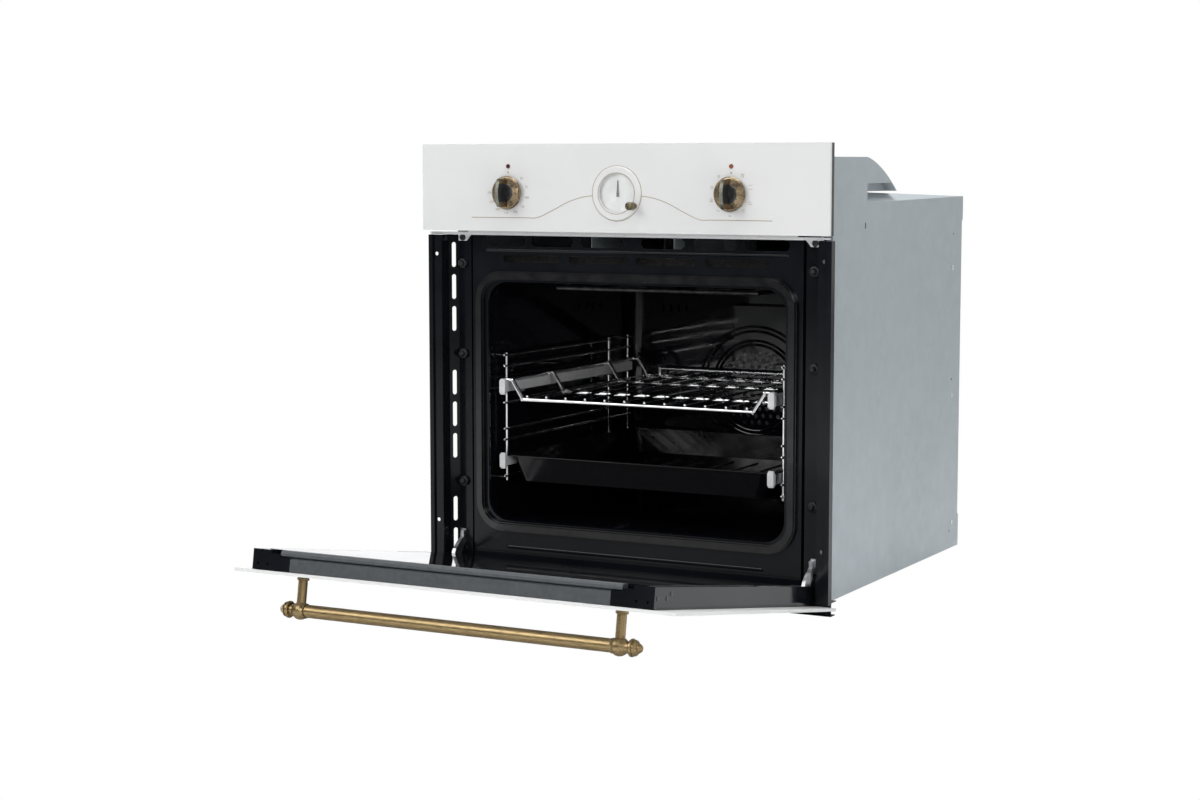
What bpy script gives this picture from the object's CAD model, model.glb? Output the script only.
"""Built-in gas oven with its door open, in soft studio light. Metres, +Z up, the front faces -Y."""

import math

import bmesh
import bpy
from mathutils import Matrix, Vector


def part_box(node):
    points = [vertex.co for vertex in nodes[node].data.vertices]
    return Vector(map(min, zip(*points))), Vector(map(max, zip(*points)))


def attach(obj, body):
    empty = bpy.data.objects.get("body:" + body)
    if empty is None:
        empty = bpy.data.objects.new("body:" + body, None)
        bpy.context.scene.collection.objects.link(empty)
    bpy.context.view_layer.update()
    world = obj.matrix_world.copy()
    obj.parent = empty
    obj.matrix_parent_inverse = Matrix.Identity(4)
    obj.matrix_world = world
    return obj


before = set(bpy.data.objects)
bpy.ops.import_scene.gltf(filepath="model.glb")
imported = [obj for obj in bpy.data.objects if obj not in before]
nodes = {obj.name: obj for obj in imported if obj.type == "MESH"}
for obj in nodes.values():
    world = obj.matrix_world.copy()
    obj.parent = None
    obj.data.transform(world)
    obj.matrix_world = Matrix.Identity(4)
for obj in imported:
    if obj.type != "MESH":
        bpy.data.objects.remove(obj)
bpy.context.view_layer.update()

MM = 0.001

# Places taken from the frame
fascia_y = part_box("control_panel")[0].y
left_knob_low, left_knob_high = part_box("temperature_knob")
right_knob_low, right_knob_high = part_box("function_knob")
bezel_low, bezel_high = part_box("clock_bezel")
left_knob = (left_knob_low + left_knob_high) / 2
right_knob = (right_knob_low + right_knob_high) / 2
clock = (bezel_low + bezel_high) / 2

# The photograph's camera: its place, its angles in degrees and its lens in millimetres
CAMERA_PLACE = Vector((1.36231, -2.91020, 0.57649))
CAMERA_YAW = 28.055
CAMERA_DIP = 5.993
CAMERA_ROLL = -0.022
CAMERA_LENS = 67.657

# The door's open angle, its hinge pin, and how far the pin is in from the shut door's face and up its edge
DOOR_ANGLE = math.radians(80.6)
PIN = Vector((0, -0.2892, 0.0259))
PIN_IN = 0.0143
PIN_UP = 0.0179
door_matrix = (
    Matrix.Translation(PIN)
    @ Matrix.Rotation(DOOR_ANGLE, 4, "X")
    @ Matrix.Translation(Vector((0, -PIN_IN, -PIN_UP)))
)


# Small helpers for shader trees

# The part of a noise texture's range that it fills
NOISE_LOW = 0.3
NOISE_HIGH = 0.7
# The colour sockets of a Mix node
MIX_FIRST = 6
MIX_SECOND = 7
MIX_RESULT = 2

class Shader:
    """A material whose nodes are added one after another."""

    def __init__(self, name, colour, rough, metal=0.0):
        self.material = bpy.data.materials.new(name)
        self.material.use_nodes = True
        self.tree = self.material.node_tree
        self.surface = self.tree.nodes["Principled BSDF"]
        self.surface.inputs["Base Color"].default_value = (*colour, 1.0)
        self.surface.inputs["Roughness"].default_value = rough
        self.surface.inputs["Metallic"].default_value = metal
        self.place = self.add("ShaderNodeTexCoord").outputs["Object"]
        self.bumped = None

    def add(self, kind, **settings):
        node = self.tree.nodes.new(kind)
        for key, value in settings.items():
            setattr(node, key, value)
        return node

    def link(self, source, target):
        self.tree.links.new(source, target)

    def number(self, socket, value):
        self.surface.inputs[socket].default_value = value
        return self

    def stretched(self, stretch):
        mapping = self.add("ShaderNodeMapping")
        mapping.inputs["Scale"].default_value = stretch
        self.link(self.place, mapping.inputs["Vector"])
        return mapping.outputs["Vector"]

    def noise(self, scale, detail=3.0, stretch=None):
        """A noise texture in the object's own metres, drawn out along an axis where stretch is low."""
        node = self.add("ShaderNodeTexNoise")
        node.inputs["Scale"].default_value = scale
        node.inputs["Detail"].default_value = detail
        self.link(self.stretched(stretch) if stretch else self.place, node.inputs["Vector"])
        return node.outputs["Fac"]

    def cells(self, scale):
        """A random value for each cell of a Voronoi texture, as on spangled zinc."""
        node = self.add("ShaderNodeTexVoronoi")
        node.inputs["Scale"].default_value = scale
        self.link(self.place, node.inputs["Vector"])
        split = self.add("ShaderNodeSeparateColor")
        self.link(node.outputs["Color"], split.inputs["Color"])
        return split.outputs["Red"]

    def spread(self, fac, low, high):
        node = self.add("ShaderNodeMapRange")
        node.inputs["From Min"].default_value = NOISE_LOW
        node.inputs["From Max"].default_value = NOISE_HIGH
        node.inputs["To Min"].default_value = low
        node.inputs["To Max"].default_value = high
        self.link(fac, node.inputs["Value"])
        return node.outputs["Result"]

    def tint(self, fac, dark, light, start=NOISE_LOW, stop=NOISE_HIGH):
        ramp = self.add("ShaderNodeValToRGB")
        ramp.color_ramp.elements[0].position = start
        ramp.color_ramp.elements[0].color = (*dark, 1.0)
        ramp.color_ramp.elements[1].position = stop
        ramp.color_ramp.elements[1].color = (*light, 1.0)
        self.link(fac, ramp.inputs["Fac"])
        return ramp.outputs["Color"]

    def colour(self, socket):
        self.link(socket, self.surface.inputs["Base Color"])
        return self

    def rough(self, fac, low, high):
        self.link(self.spread(fac, low, high), self.surface.inputs["Roughness"])
        return self

    def bump(self, fac, strength, distance=0.0005):
        node = self.add("ShaderNodeBump")
        node.inputs["Strength"].default_value = strength
        node.inputs["Distance"].default_value = distance
        self.link(fac, node.inputs["Height"])
        if self.bumped is not None:
            self.link(self.bumped, node.inputs["Normal"])
        self.bumped = node.outputs["Normal"]
        self.link(self.bumped, self.surface.inputs["Normal"])
        return self

    def mix(self, fac, first, second):
        node = self.add("ShaderNodeMix", data_type="RGBA")
        self.link(fac, node.inputs[0])
        self.link(first, node.inputs[MIX_FIRST])
        self.link(second, node.inputs[MIX_SECOND])
        return node.outputs[MIX_RESULT]

    def radius_from(self, centre, axis):
        """Distance from a line through centre along one axis, in metres."""
        shift = self.add("ShaderNodeVectorMath", operation="SUBTRACT")
        shift.inputs[1].default_value = centre
        self.link(self.place, shift.inputs[0])
        flat = self.add("ShaderNodeVectorMath", operation="MULTIPLY")
        flat.inputs[1].default_value = [0.0 if axis == i else 1.0 for i in range(3)]
        self.link(shift.outputs["Vector"], flat.inputs[0])
        length = self.add("ShaderNodeVectorMath", operation="LENGTH")
        self.link(flat.outputs["Vector"], length.inputs[0])
        return length.outputs["Value"]

    def grip_edge(self):
        """1 on faces that look to the front and stand further out than a knob's dome, 0 elsewhere."""
        face = self.add("ShaderNodeNewGeometry")
        normal = self.add("ShaderNodeSeparateXYZ")
        self.link(face.outputs["True Normal"], normal.inputs["Vector"])
        place = self.add("ShaderNodeSeparateXYZ")
        self.link(self.place, place.inputs["Vector"])
        facing = self.step(normal.outputs["Y"], -0.5, 0.1)
        deep = self.step(place.outputs["Y"], fascia_y - GRIP_START, 0.0004)
        either = self.add("ShaderNodeMath", operation="MAXIMUM")
        self.link(facing, either.inputs[0])
        self.link(deep, either.inputs[1])
        front = self.add("ShaderNodeMath", operation="SUBTRACT")
        front.inputs[0].default_value = 1.0
        self.link(either.outputs[0], front.inputs[1])
        return front.outputs[0]

    def step(self, value, edge, soft):
        node = self.add("ShaderNodeMapRange", interpolation_type="SMOOTHSTEP")
        node.inputs["From Min"].default_value = edge - soft
        node.inputs["From Max"].default_value = edge + soft
        self.link(value, node.inputs["Value"])
        return node.outputs["Result"]


# Materials

# A knob's black dome, and how far before the panel its grip stands clear of that dome
DOME_RADIUS = 0.0125
GRIP_START = 0.0135
# Stretches along X: brushing along the handle bar, and rolling marks on bright sheet
ALONG_BAR = (0.4, 6, 6)
ROLLED = (1, 40, 40)


def ivory_paint():
    s = Shader("ivory_paint", (0.66, 0.66, 0.65), 0.4)
    s.colour(s.tint(s.noise(9, 4), (0.645, 0.65, 0.64), (0.68, 0.68, 0.67)))
    s.rough(s.noise(60), 0.34, 0.46)
    s.bump(s.noise(900, 2), 0.05, 0.0002)
    return s.number("Coat Weight", 0.25).material


def black_enamel():
    s = Shader("black_enamel", (0.006, 0.007, 0.009), 0.12)
    s.colour(s.tint(s.noise(14), (0.004, 0.005, 0.0065), (0.007, 0.008, 0.0105)))
    s.rough(s.noise(40), 0.08, 0.17)
    s.bump(s.noise(240, 2), 0.03, 0.0003)
    return s.number("Specular IOR Level", 0.2).material


def cavity_enamel():
    s = Shader("cavity_enamel", (0.004, 0.004, 0.006), 0.08)
    s.colour(s.tint(s.noise(900, 2), (0.003, 0.003, 0.005), (0.05, 0.05, 0.06), 0.62, 0.8))
    s.rough(s.noise(30), 0.03, 0.1)
    s.bump(s.noise(11, 2), 0.16, 0.002)
    return s.number("Specular IOR Level", 0.45).material


def tray_enamel():
    s = Shader("tray_enamel", (0.003, 0.003, 0.004), 0.1)
    s.colour(s.tint(s.noise(700, 2), (0.002, 0.002, 0.003), (0.02, 0.02, 0.022), 0.62, 0.85))
    s.rough(s.noise(40), 0.06, 0.14)
    s.bump(s.noise(14, 2), 0.1, 0.002)
    return s.number("Specular IOR Level", 0.3).material


def galvanised():
    s = Shader("galvanised", (0.355, 0.40, 0.42), 0.5, 0.35)
    spangle = s.tint(s.cells(60), (0.33, 0.37, 0.39), (0.37, 0.41, 0.435), 0.0, 1.0)
    cloud = s.tint(s.noise(4, 4), (0.33, 0.375, 0.375), (0.38, 0.415, 0.445))
    s.colour(s.mix(s.noise(2, 1), spangle, cloud))
    s.rough(s.noise(30), 0.42, 0.55)
    s.bump(s.cells(140), 0.03, 0.0002)
    return s.material


def bright_steel():
    s = Shader("bright_steel", (0.86, 0.86, 0.86), 0.3, 0.15)
    s.rough(s.noise(300, 2, ROLLED), 0.2, 0.35)
    s.bump(s.noise(300, 2, ROLLED), 0.04, 0.0001)
    return s.material


def zinc():
    s = Shader("zinc", (0.55, 0.56, 0.57), 0.35, 1.0)
    s.colour(s.tint(s.noise(120), (0.45, 0.46, 0.48), (0.66, 0.67, 0.68)))
    s.rough(s.noise(90), 0.28, 0.45)
    s.bump(s.noise(400), 0.1, 0.0002)
    return s.material


def chrome():
    s = Shader("chrome", (0.78, 0.78, 0.79), 0.12, 1.0)
    s.rough(s.noise(200), 0.08, 0.18)
    s.bump(s.noise(500, 2), 0.03, 0.0001)
    return s.material


def antique_bronze():
    s = Shader("antique_bronze", (0.26, 0.18, 0.09), 0.32, 1.0)
    brushed = s.noise(260, 3, ALONG_BAR)
    s.colour(s.tint(brushed, (0.20, 0.142, 0.07), (0.39, 0.29, 0.15)))
    s.rough(s.noise(150, 3, ALONG_BAR), 0.26, 0.42)
    s.bump(brushed, 0.12, 0.0002)
    return s.material


def dark_bronze():
    s = Shader("dark_bronze", (0.16, 0.13, 0.08), 0.32, 1.0)
    s.colour(s.tint(s.noise(400, 3), (0.09, 0.078, 0.045), (0.25, 0.21, 0.125)))
    s.rough(s.noise(200), 0.24, 0.4)
    s.bump(s.noise(900, 3), 0.12, 0.0002)
    return s.material


def knob_bronze(name, centre):
    """Bronze disc, a black dome out to DOME_RADIUS, and a grip that is olive along its front edge."""
    s = Shader(name, (0.26, 0.18, 0.09), 0.35, 1.0)
    radius = s.radius_from(centre, 1)
    bronze = s.tint(s.noise(500, 3), (0.13, 0.095, 0.06), (0.36, 0.28, 0.175))
    black = s.tint(s.noise(300), (0.006, 0.006, 0.007), (0.014, 0.014, 0.015))
    olive = s.tint(s.noise(400), (0.09, 0.095, 0.07), (0.21, 0.21, 0.165))
    outside = s.step(radius, DOME_RADIUS, 0.0002)
    s.colour(s.mix(s.grip_edge(), s.mix(outside, black, bronze), olive))
    s.link(outside, s.surface.inputs["Metallic"])
    s.rough(s.noise(200), 0.26, 0.42)
    s.bump(s.noise(900, 3), 0.12, 0.0002)
    return s.material


def rubber(name, shine=0.5):
    s = Shader(name, (0.005, 0.005, 0.006), shine)
    s.colour(s.tint(s.noise(80), (0.004, 0.004, 0.005), (0.007, 0.007, 0.008)))
    s.rough(s.noise(60), shine - 0.06, shine + 0.06)
    s.bump(s.noise(300), 0.06, 0.0003)
    return s.material


def plastic(name, colour, shine):
    s = Shader(name, colour, shine)
    light = tuple(min(1.0, c * 1.06) for c in colour)
    dark = tuple(c * 0.94 for c in colour)
    s.colour(s.tint(s.noise(120), dark, light))
    s.rough(s.noise(90), shine - 0.05, shine + 0.05)
    s.bump(s.noise(700, 2), 0.06, 0.0002)
    return s.material


def dark_glass():
    s = Shader("dark_glass", (0.004, 0.004, 0.005), 0.03)
    s.colour(s.tint(s.noise(6), (0.003, 0.003, 0.004), (0.006, 0.006, 0.007)))
    s.rough(s.noise(25), 0.02, 0.05)
    return s.number("Specular IOR Level", 0.2).material


def clear_glass():
    s = Shader("clear_glass", (0.95, 0.97, 0.97), 0.03)
    s.rough(s.noise(30), 0.02, 0.05)
    s.number("Transmission Weight", 0.95)
    return s.number("Alpha", 0.25).material


def dark_steel():
    s = Shader("dark_steel", (0.05, 0.05, 0.052), 0.4, 0.8)
    s.colour(s.tint(s.noise(90), (0.03, 0.03, 0.032), (0.09, 0.09, 0.09)))
    s.rough(s.noise(70), 0.32, 0.5)
    s.bump(s.noise(300), 0.1, 0.0003)
    return s.material


def aluminium():
    s = Shader("aluminium", (0.6, 0.6, 0.61), 0.35, 1.0)
    s.colour(s.tint(s.noise(60), (0.55, 0.55, 0.56), (0.66, 0.66, 0.67)))
    s.rough(s.noise(80), 0.3, 0.42)
    s.bump(s.noise(250), 0.05, 0.0002)
    return s.material


def brass():
    s = Shader("brass", (0.6, 0.42, 0.2), 0.35, 1.0)
    s.colour(s.tint(s.noise(90), (0.5, 0.35, 0.16), (0.68, 0.49, 0.25)))
    s.rough(s.noise(70), 0.3, 0.45)
    s.bump(s.noise(300), 0.08, 0.0002)
    return s.material


def wool():
    s = Shader("wool", (0.012, 0.012, 0.011), 0.95)
    s.colour(s.tint(s.noise(200, 6), (0.004, 0.004, 0.004), (0.018, 0.017, 0.015)))
    s.bump(s.noise(400, 6), 0.8, 0.002)
    return s.material


def grey_trim():
    s = Shader("grey_trim", (0.048, 0.054, 0.06), 0.45)
    s.colour(s.tint(s.noise(160, 4), (0.041, 0.046, 0.051), (0.058, 0.064, 0.070)))
    s.rough(s.noise(70), 0.36, 0.5)
    s.bump(s.noise(900, 2), 0.12, 0.0002)
    return s.material


def lamp_red():
    s = Shader("lamp_red", (0.30, 0.03, 0.02), 0.2)
    side = s.add("ShaderNodeSeparateXYZ")
    s.link(s.place, side.inputs["Vector"])
    s.colour(s.tint(side.outputs["X"], (0.07, 0.010, 0.015), (0.26, 0.07, 0.045), 0.0, 0.05))
    s.rough(s.noise(200), 0.16, 0.28)
    return s.number("Coat Weight", 0.8).material


def print_ink(name, colour):
    s = Shader(name, colour, 0.5)
    s.colour(s.tint(s.noise(800), tuple(c * 0.8 for c in colour), tuple(c * 1.2 for c in colour)))
    return s.material


ivory = ivory_paint()
enamel = black_enamel()
cavity = cavity_enamel()
steel_sheet = galvanised()
bright = bright_steel()
plated = zinc()
chromed = chrome()
bronze = antique_bronze()
seal = rubber("seal_rubber", 0.16)
bumper = rubber("bumper_rubber", 0.5)
black_plastic = plastic("black_plastic", (0.02, 0.02, 0.021), 0.45)
white_plastic = plastic("white_plastic", (0.84, 0.84, 0.835), 0.35)
grey_plastic = plastic("grey_plastic", (0.62, 0.62, 0.62), 0.45)
pane = dark_glass()
clear = clear_glass()
dark_metal = dark_steel()
alu = aluminium()
yellow_brass = brass()
mineral_wool = wool()
trim_grey = grey_trim()
lamp = lamp_red()
hand_grey = plastic("hand_grey", (0.20, 0.20, 0.20), 0.4)
ceramic = plastic("ceramic", (0.8, 0.78, 0.72), 0.25)
bronze_ink = print_ink("bronze_ink", (0.32, 0.25, 0.16))

FINISH = {
    steel_sheet: "casing_left casing_right base_panel top_cover duct_hood cooling_housing",
    enamel: "front_facade trim_left trim_right bottom_trim door_frame rear_panel",
    cavity: "cavity_shell fan_baffle burner_floor",
    tray_enamel(): "deep_tray",
    mineral_wool: "insulation",
    seal: "cavity_gasket",
    bright: "air_deflector",
    ivory: "control_panel door_panel clock_bezel",
    black_plastic: "panel_backing terminal_box",
    white_plastic: "clock_dial",
    clear: "clock_glass lamp_glass",
    lamp: "pilot_lamps",
    yellow_brass: "thermostat_valve thermocouple",
    grey_plastic: "function_switch timer_movement upper_slides lower_slides",
    chromed: "side_rack_left side_rack_right grid_rack",
    plated: "fixed_rails hinge_arms thermostat_stem hinge_cassettes",
    dark_metal: "fan_motor cooling_motor grill_element gas_burner",
    hand_grey: "clock_hand",
    ceramic: "oven_lamp igniter",
    alu: "gas_pipe fan_impeller cooling_rotor",
    bumper: "bumpers",
    trim_grey: "door_top_trim",
    pane: "door_inner_glass door_middle_glass",
    dark_bronze(): "timer_knob",
    bronze: "handle_bar handle_posts",
    knob_bronze("left_knob_bronze", left_knob): "temperature_knob",
    knob_bronze("right_knob_bronze", right_knob): "function_knob",
}


def paint(obj, material):
    obj.data.materials.clear()
    obj.data.materials.append(material)


for finish, names in FINISH.items():
    for node_name in names.split():
        paint(nodes[node_name], finish)


# Pieces that the CAD leaves to this script


def mesh_piece(name, bm, material, body, smooth=True):
    mesh = bpy.data.meshes.new(name)
    bm.to_mesh(mesh)
    bm.free()
    for face in mesh.polygons:
        face.use_smooth = smooth
    obj = bpy.data.objects.new(name, mesh)
    bpy.context.scene.collection.objects.link(obj)
    obj.data.materials.append(material)
    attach(obj, body)


def ribbon(bm, points, width, depth, matrix):
    """A thin raised line along points given as (x, z), standing on a plane of constant y."""
    left, right = [], []
    for i, point in enumerate(points):
        before = Vector(points[max(i - 1, 0)])
        after = Vector(points[min(i + 1, len(points) - 1)])
        along = (after - before).normalized()
        side = Vector((-along.y, along.x)) * width / 2
        here = Vector(point)
        left.append(here + side)
        right.append(here - side)
    rows = []
    for y in (0.0, -depth):
        rows.append([bm.verts.new((p.x, y, p.y)) for p in left])
        rows.append([bm.verts.new((p.x, y, p.y)) for p in right])
    back_l, back_r, front_l, front_r = rows
    for i in range(len(points) - 1):
        bm.faces.new((front_l[i], front_l[i + 1], front_r[i + 1], front_r[i]))
        bm.faces.new((back_l[i], back_r[i], back_r[i + 1], back_l[i + 1]))
        bm.faces.new((back_l[i], back_l[i + 1], front_l[i + 1], front_l[i]))
        bm.faces.new((front_r[i], front_r[i + 1], back_r[i + 1], back_r[i]))
    for i, flip in ((0, 1), (-1, -1)):
        bm.faces.new((back_l[i], front_l[i], front_r[i], back_r[i])[::flip])
    bmesh.ops.transform(bm, matrix=matrix, verts=[v for row in rows for v in row])


def smooth_curve(points, steps):
    """Points on a smooth curve through the given ones."""
    ends = [points[0]] + list(points) + [points[-1]]
    result = []
    for i in range(1, len(ends) - 2):
        a, b, c, d = (Vector(ends[i + k]) for k in (-1, 0, 1, 2))
        for n in range(steps):
            t = n / steps
            square = (2 * a - 5 * b + 4 * c - d) * t * t
            cube = (3 * b - a - 3 * c + d) * t**3
            result.append(0.5 * (2 * b + (c - a) * t + square + cube))
    result.append(Vector(points[-1]))
    return result


# How far printed marks stand on the panel
PRINT = 0.0001
# Left half of the decor line, as (x, z) in millimetres
DECOR = (
    (-219.8, 504.4), (-140, 504.6), (-118.8, 505), (-96.5, 514.1),
    (-73.3, 525.4), (-52.2, 532), (-35.6, 534.3),
)
DECOR_WIDTH = 0.0009


def decor_line():
    """The thin line across the panel that rises to the clock from both sides."""
    bm = bmesh.new()
    for sign in (1, -1):
        points = [(sign * x * MM, z * MM) for x, z in DECOR]
        ribbon(bm, smooth_curve(points, 8), DECOR_WIDTH, PRINT, Matrix.Translation((0, fascia_y, 0)))
    mesh_piece("decor_line", bm, bronze_ink, "oven")


def ring_points(centre, radius, count):
    turn = [math.radians(360 * i / count) for i in range(count + 1)]
    return [(centre.x + radius * math.cos(a), centre.z + radius * math.sin(a)) for a in turn]


# The clock's printed rings: radius, line width, line depth, and how far before the panel it lies
CLOCK_RINGS = ((0.0358, 0.0009, 0.0002, 0.0), (0.0268, 0.0008, 0.0001, 0.00162))


def clock_lines():
    """The ring round the clock's bezel and the ring on it."""
    bm = bmesh.new()
    for radius, width, depth, out in CLOCK_RINGS:
        ribbon(bm, ring_points(clock, radius, 96), width, depth, Matrix.Translation((0, fascia_y - out, 0)))
    mesh_piece("clock_lines", bm, bronze_ink, "oven")


# Strokes of the dial's digits, in a box 1 wide and DIGIT_HIGH high, and the step from one digit to the next
DIGIT_HIGH = 1.6
DIGIT_STEP = 1.35
DIGITS = {
    "0": [[(0.1, 0.3), (0.5, 0), (0.9, 0.3), (0.9, 1.3), (0.5, 1.6), (0.1, 1.3), (0.1, 0.3)]],
    "1": [[(0.2, 1.2), (0.6, 1.6), (0.6, 0)]],
    "2": [[(0.1, 1.3), (0.5, 1.6), (0.9, 1.3), (0.9, 1.0), (0.1, 0), (0.95, 0)]],
    "5": [
        [(0.9, 1.6), (0.2, 1.6), (0.15, 0.9), (0.6, 1.0), (0.9, 0.7), (0.9, 0.3), (0.5, 0), (0.1, 0.2)],
    ],
    "7": [[(0.1, 1.6), (0.9, 1.6), (0.4, 0)]],
}

# Plain symbols of the right dial in millimetres: bars for the heat, a ring for the fan
BAR_HIGH = [[(-2.6, 2.4), (2.6, 2.4)]]
BAR_LOW = [[(-2.6, -2.4), (2.6, -2.4)]]
FAN = [[(1.6 * math.cos(a * math.pi / 6), 1.6 * math.sin(a * math.pi / 6)) for a in range(13)]]
LAMP = [
    [(-1.4, 1.0), (0, 2.2), (1.4, 1.0), (0.5, -0.6), (-0.5, -0.6), (-1.4, 1.0)],
    [(-0.5, -1.6), (0.5, -1.6)],
]
WAVE = [[(-2.2, 0), (-1.1, 1.0), (0, 0), (1.1, -1.0), (2.2, 0)]]
PAIR = [[(-1.8, 0.3), (1.8, 0.3)], [(-1.8, -0.3), (1.8, -0.3)]]
# What stands round each dial, by its angle in degrees from the right
SYMBOLS = {
    127: LAMP, 162: FAN, 195: FAN + BAR_LOW, 231: WAVE, 267: PAIR,
    307: BAR_HIGH + WAVE, 338: BAR_LOW + WAVE, 19: BAR_HIGH + BAR_LOW, 56: FAN + BAR_HIGH,
}
NUMBERS = {
    45: "50", 17: "75", -13: "100", -42: "125", -69: "150", -97: "175", -125: "200", -153: "225", 180: "250",
}
# Half width and half height of the oval on which they stand, their line widths and the digits' height
NUMBER_OVAL = (0.0288, 0.0270)
SYMBOL_OVAL = (0.0285, 0.0275)
DIGIT_LINE = 0.00042
SYMBOL_LINE = 0.0005
DIGIT_SIZE = 0.0027
# The zero dot over each knob: its height over the knob's middle, half length and width
DOT_UP = 0.0270
DOT_HALF = 0.001
DOT_WIDTH = 0.002


def number(bm, text, x, z, height):
    unit = height / DIGIT_HIGH
    left = x - unit * (len(text) * DIGIT_STEP - (DIGIT_STEP - 1)) / 2
    for i, digit in enumerate(text):
        for stroke in DIGITS[digit]:
            points = [
                (left + (i * DIGIT_STEP + px) * unit, z + (pz - DIGIT_HIGH / 2) * unit) for px, pz in stroke
            ]
            ribbon(bm, points, DIGIT_LINE, PRINT, Matrix.Translation((0, fascia_y, 0)))


def knob_marks():
    """Plain numbers round the left knob, plain symbols round the right one, and the two zero dots."""
    bm = bmesh.new()
    for angle, text in NUMBERS.items():
        a = math.radians(angle)
        across, up = NUMBER_OVAL
        number(bm, text, left_knob.x + across * math.cos(a), left_knob.z + up * math.sin(a), DIGIT_SIZE)
    for angle, strokes in SYMBOLS.items():
        a = math.radians(angle)
        across, up = SYMBOL_OVAL
        x, z = right_knob.x + across * math.cos(a), right_knob.z + up * math.sin(a)
        for stroke in strokes:
            points = [(x + px * MM, z + pz * MM) for px, pz in stroke]
            ribbon(bm, points, SYMBOL_LINE, PRINT, Matrix.Translation((0, fascia_y, 0)))
    for centre in (left_knob, right_knob):
        points = [(centre.x + dx, centre.z + DOT_UP) for dx in (-DOT_HALF, DOT_HALF)]
        ribbon(bm, points, DOT_WIDTH, PRINT, Matrix.Translation((0, fascia_y, 0)))
    mesh_piece("knob_marks", bm, bronze_ink, "oven")


# The pointer on a knob's skirt: its two ends as height over the knob's middle and depth from the fascia
POINTER_ENDS = ((0.0192, -0.0068), (0.0140, -0.0101))
POINTER_WIDTH = 0.0009
# How much of the pointer's lift over the skirt goes to the front and how much goes up
OUT_Y = 0.85
OUT_Z = 0.5


def knob_pointer(name, centre, body):
    """The dark pointer line that runs down a knob's skirt at its top."""
    bm = bmesh.new()
    rows = []
    for lift in (-0.0004, 0.00015):
        for up, depth in POINTER_ENDS:
            for side in (-1, 1):
                across = centre.x + side * POINTER_WIDTH / 2
                out = fascia_y + depth - lift * OUT_Y
                rows.append(bm.verts.new((across, out, centre.z + up + lift * OUT_Z)))
    for a, b, c, d in ((0, 2, 3, 1), (4, 5, 7, 6), (0, 1, 5, 4), (2, 6, 7, 3), (0, 4, 6, 2), (1, 3, 7, 5)):
        bm.faces.new((rows[a], rows[b], rows[c], rows[d]))
    bmesh.ops.recalc_face_normals(bm, faces=bm.faces)
    mesh_piece(name, bm, dark_metal, body, smooth=False)


decor_line()
clock_lines()
knob_marks()
knob_pointer("left_pointer", left_knob, "temperature")
knob_pointer("right_pointer", right_knob, "function")


SCREW_SEGMENTS = 20
# A screw head's rings, as shares of its radius and height, and how deep its middle is sunk
SCREW_RINGS = ((1, 0), (1, 0.4), (0.8, 0.8), (0.45, 1))
SCREW_SUNK = 0.45


def screw(bm, place, facing, radius, height):
    """A pan head with a sunk middle."""
    rings = [(radius * wide, height * high) for wide, high in SCREW_RINGS]
    turn = Vector(facing).to_track_quat("Z", "Y").to_matrix().to_4x4()
    matrix = Matrix.Translation(place) @ turn
    rows = []
    for r, h in rings:
        row = []
        for i in range(SCREW_SEGMENTS):
            a = 2 * math.pi * i / SCREW_SEGMENTS
            row.append(bm.verts.new(matrix @ Vector((r * math.cos(a), r * math.sin(a), h))))
        rows.append(row)
    low = bm.verts.new(matrix @ Vector((0, 0, height * SCREW_SUNK)))
    for a, b in zip(rows, rows[1:]):
        for i in range(SCREW_SEGMENTS):
            bm.faces.new((a[i], a[(i + 1) % SCREW_SEGMENTS], b[(i + 1) % SCREW_SEGMENTS], b[i]))
    for i in range(SCREW_SEGMENTS):
        bm.faces.new((rows[-1][i], rows[-1][(i + 1) % SCREW_SEGMENTS], low))
    bm.faces.new(rows[0][::-1])


EAR_SCREW_X = 0.2607
EAR_SCREW_Z = 0.4756
EAR_SHEET = 0.0012
# Head radius and height of each kind of screw
EAR_SCREW = (0.0045, 0.002)
DOOR_SCREW = (0.003, 0.0008)
SIDE_SCREW = (0.0038, 0.0016)


def root_screws():
    """Dark screws in the deflector's ears."""
    bm = bmesh.new()
    ear_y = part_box("air_deflector")[1].y - EAR_SHEET
    for sign in (-1, 1):
        screw(bm, Vector((sign * EAR_SCREW_X, ear_y, EAR_SCREW_Z)), (0, -1, 0), *EAR_SCREW)
    mesh_piece("ear_screws", bm, dark_metal, "oven")


# Screws in the door's sides, in the shut door's own frame, as height and depth
DOOR_SCREWS = ((0.463, 0.017), (0.440, 0.017), (0.429, 0.022))
DOOR_SIDE = 0.271


def door_screws():
    """Screws in the door's sides near its top."""
    bm = bmesh.new()
    for sign in (-1, 1):
        for up, depth in DOOR_SCREWS:
            screw(bm, Vector((sign * DOOR_SIDE, depth, up)), (sign, 0, 0), *DOOR_SCREW)
    bmesh.ops.transform(bm, matrix=door_matrix, verts=bm.verts)
    mesh_piece("door_screws", bm, dark_metal, "door")


# Screws in the casing's sides, as depth and height
SIDE_SCREWS = ((0.2075, 0.426), (0.2115, 0.241), (0.2190, 0.0525))


def side_screws():
    """Plated screws along the rear edge of both side panels."""
    bm = bmesh.new()
    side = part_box("casing_right")[1].x
    for sign in (-1, 1):
        for depth, up in SIDE_SCREWS:
            screw(bm, Vector((sign * side, depth, up)), (sign, 0, 0), *SIDE_SCREW)
    mesh_piece("side_screws", bm, plated, "oven")


root_screws()
door_screws()
side_screws()


# Camera, light and floor


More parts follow.
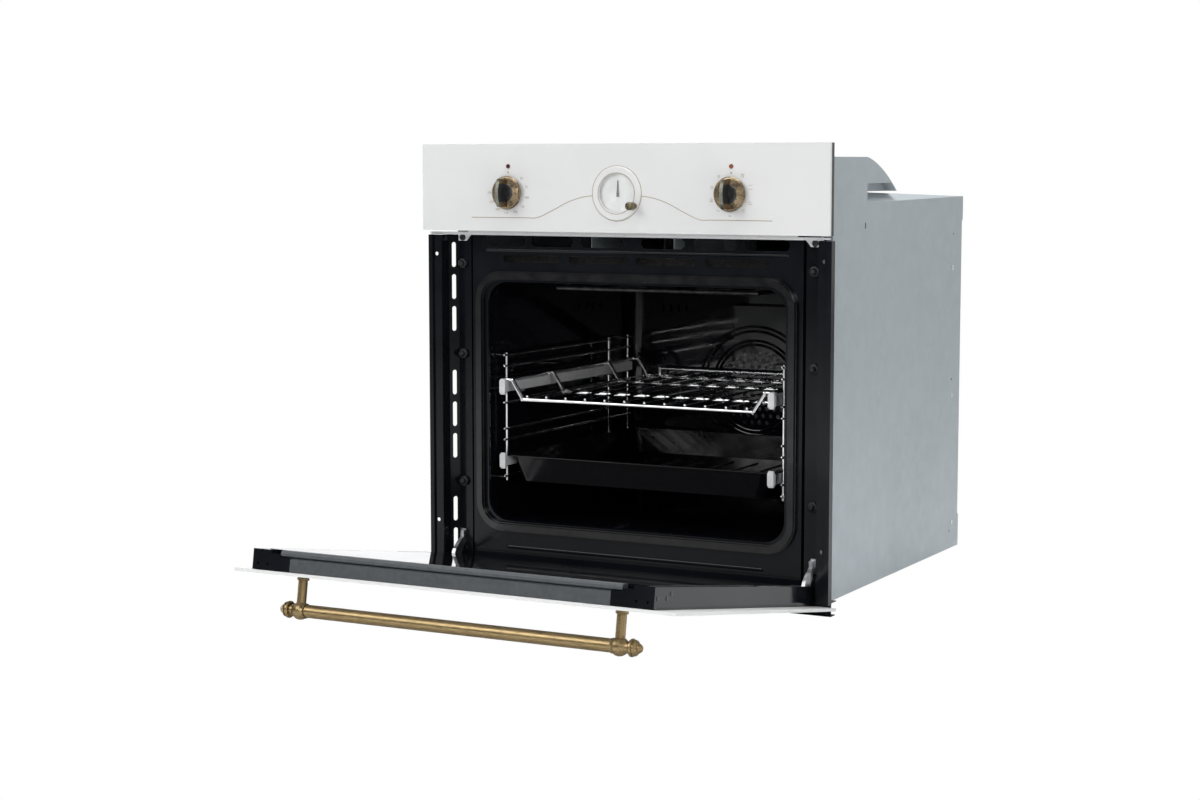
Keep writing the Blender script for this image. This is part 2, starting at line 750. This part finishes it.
def make_camera():
    yaw, dip, roll = (math.radians(a) for a in (CAMERA_YAW, CAMERA_DIP, CAMERA_ROLL))
    back = Vector((math.sin(yaw) * math.cos(dip), -math.cos(yaw) * math.cos(dip), math.sin(dip)))
    right = Vector((math.cos(yaw), math.sin(yaw), 0))
    up = back.cross(right)
    right, up = (
        right * math.cos(roll) + up * math.sin(roll),
        up * math.cos(roll) - right * math.sin(roll),
    )
    data = bpy.data.cameras.new("camera")
    data.sensor_width = 36
    data.lens = CAMERA_LENS
    data.clip_start = 0.1
    data.clip_end = 50
    camera = bpy.data.objects.new("camera", data)
    bpy.context.scene.collection.objects.link(camera)
    camera.matrix_world = Matrix.Translation(CAMERA_PLACE) @ Matrix((right, up, back)).transposed().to_4x4()
    bpy.context.scene.camera = camera


def area_light(name, place, target, size, power):
    data = bpy.data.lights.new(name, "AREA")
    data.shape = "RECTANGLE"
    data.size, data.size_y = size
    data.energy = power
    light = bpy.data.objects.new(name, data)
    bpy.context.scene.collection.objects.link(light)
    light.location = place
    light.rotation_euler = (Vector(target) - Vector(place)).to_track_quat("-Z", "Y").to_euler()


# Each lamp's name, place, target, width and height, and watts
LAMPS = (
    ("key_light", (-1.6, -3.0, 2.2), (0, -0.2, 0.3), (2.2, 1.8), 54),
    ("fill_light", (2.6, -2.2, 1.4), (0, -0.2, 0.3), (1.4, 2.2), 14),
    ("top_light", (0.2, 0.2, 2.6), (0, 0.1, 0.5), (2.4, 1.6), 96),
    ("inside_light", (0.9, -2.7, 1.0), (0.05, 0.0, 0.25), (0.5, 0.5), 10),
)


# The world's soft light, and what metal and glass see: bright behind the object, dim towards the camera
SOFT_STRENGTH = 0.35
MIRROR_FROM = -0.3
MIRROR_TO = 0.2
MIRROR_DIM = 0.12


def make_world():
    """White for the camera, soft light for surfaces, and a graded white for reflections."""
    world = bpy.data.worlds.new("studio")
    bpy.context.scene.world = world
    world.use_nodes = True
    tree = world.node_tree
    tree.nodes.clear()
    out = tree.nodes.new("ShaderNodeOutputWorld")
    rays = tree.nodes.new("ShaderNodeLightPath")
    seen = tree.nodes.new("ShaderNodeBackground")
    seen.inputs["Color"].default_value = (1, 1, 1, 1)
    soft = tree.nodes.new("ShaderNodeBackground")
    soft.inputs["Color"].default_value = (0.93, 0.96, 1.0, 1)
    soft.inputs["Strength"].default_value = SOFT_STRENGTH
    mirror = tree.nodes.new("ShaderNodeBackground")
    way = tree.nodes.new("ShaderNodeTexCoord")
    split = tree.nodes.new("ShaderNodeSeparateXYZ")
    tree.links.new(way.outputs["Generated"], split.inputs["Vector"])
    ramp = tree.nodes.new("ShaderNodeMapRange")
    ramp.inputs["From Min"].default_value = MIRROR_FROM
    ramp.inputs["From Max"].default_value = MIRROR_TO
    ramp.inputs["To Min"].default_value = MIRROR_DIM
    ramp.inputs["To Max"].default_value = 1.0
    tree.links.new(split.outputs["Y"], ramp.inputs["Value"])
    tree.links.new(ramp.outputs["Result"], mirror.inputs["Strength"])
    glossy = tree.nodes.new("ShaderNodeMixShader")
    tree.links.new(rays.outputs["Is Glossy Ray"], glossy.inputs["Fac"])
    tree.links.new(soft.outputs["Background"], glossy.inputs[1])
    tree.links.new(mirror.outputs["Background"], glossy.inputs[2])
    final = tree.nodes.new("ShaderNodeMixShader")
    tree.links.new(rays.outputs["Is Camera Ray"], final.inputs["Fac"])
    tree.links.new(glossy.outputs["Shader"], final.inputs[1])
    tree.links.new(seen.outputs["Background"], final.inputs[2])
    tree.links.new(final.outputs["Shader"], out.inputs["Surface"])


# How far the floor lies under the part
FLOOR_DROP = 0.0005


def make_floor():
    """A floor that the camera sees as plain white, and that lights the object as a matt pale one does."""
    bm = bmesh.new()
    bmesh.ops.create_grid(bm, x_segments=1, y_segments=1, size=6)
    mesh = bpy.data.meshes.new("floor")
    bm.to_mesh(mesh)
    bm.free()
    floor = bpy.data.objects.new("floor", mesh)
    bpy.context.scene.collection.objects.link(floor)
    floor.location.z = -FLOOR_DROP
    pale = bpy.data.materials.new("pale_floor")
    pale.use_nodes = True
    tree = pale.node_tree
    base = tree.nodes["Principled BSDF"]
    base.inputs["Base Color"].default_value = (0.8, 0.8, 0.8, 1)
    base.inputs["Roughness"].default_value = 0.8
    glow = tree.nodes.new("ShaderNodeEmission")
    rays = tree.nodes.new("ShaderNodeLightPath")
    either = tree.nodes.new("ShaderNodeMath")
    either.operation = "MAXIMUM"
    tree.links.new(rays.outputs["Is Camera Ray"], either.inputs[0])
    tree.links.new(rays.outputs["Is Transmission Ray"], either.inputs[1])
    mix = tree.nodes.new("ShaderNodeMixShader")
    tree.links.new(either.outputs[0], mix.inputs["Fac"])
    tree.links.new(base.outputs["BSDF"], mix.inputs[1])
    tree.links.new(glow.outputs["Emission"], mix.inputs[2])
    tree.links.new(mix.outputs["Shader"], tree.nodes["Material Output"].inputs["Surface"])
    floor.data.materials.append(pale)


make_camera()
for lamp_row in LAMPS:
    area_light(*lamp_row)
make_world()
make_floor()
bpy.context.scene.view_settings.view_transform = "Standard"
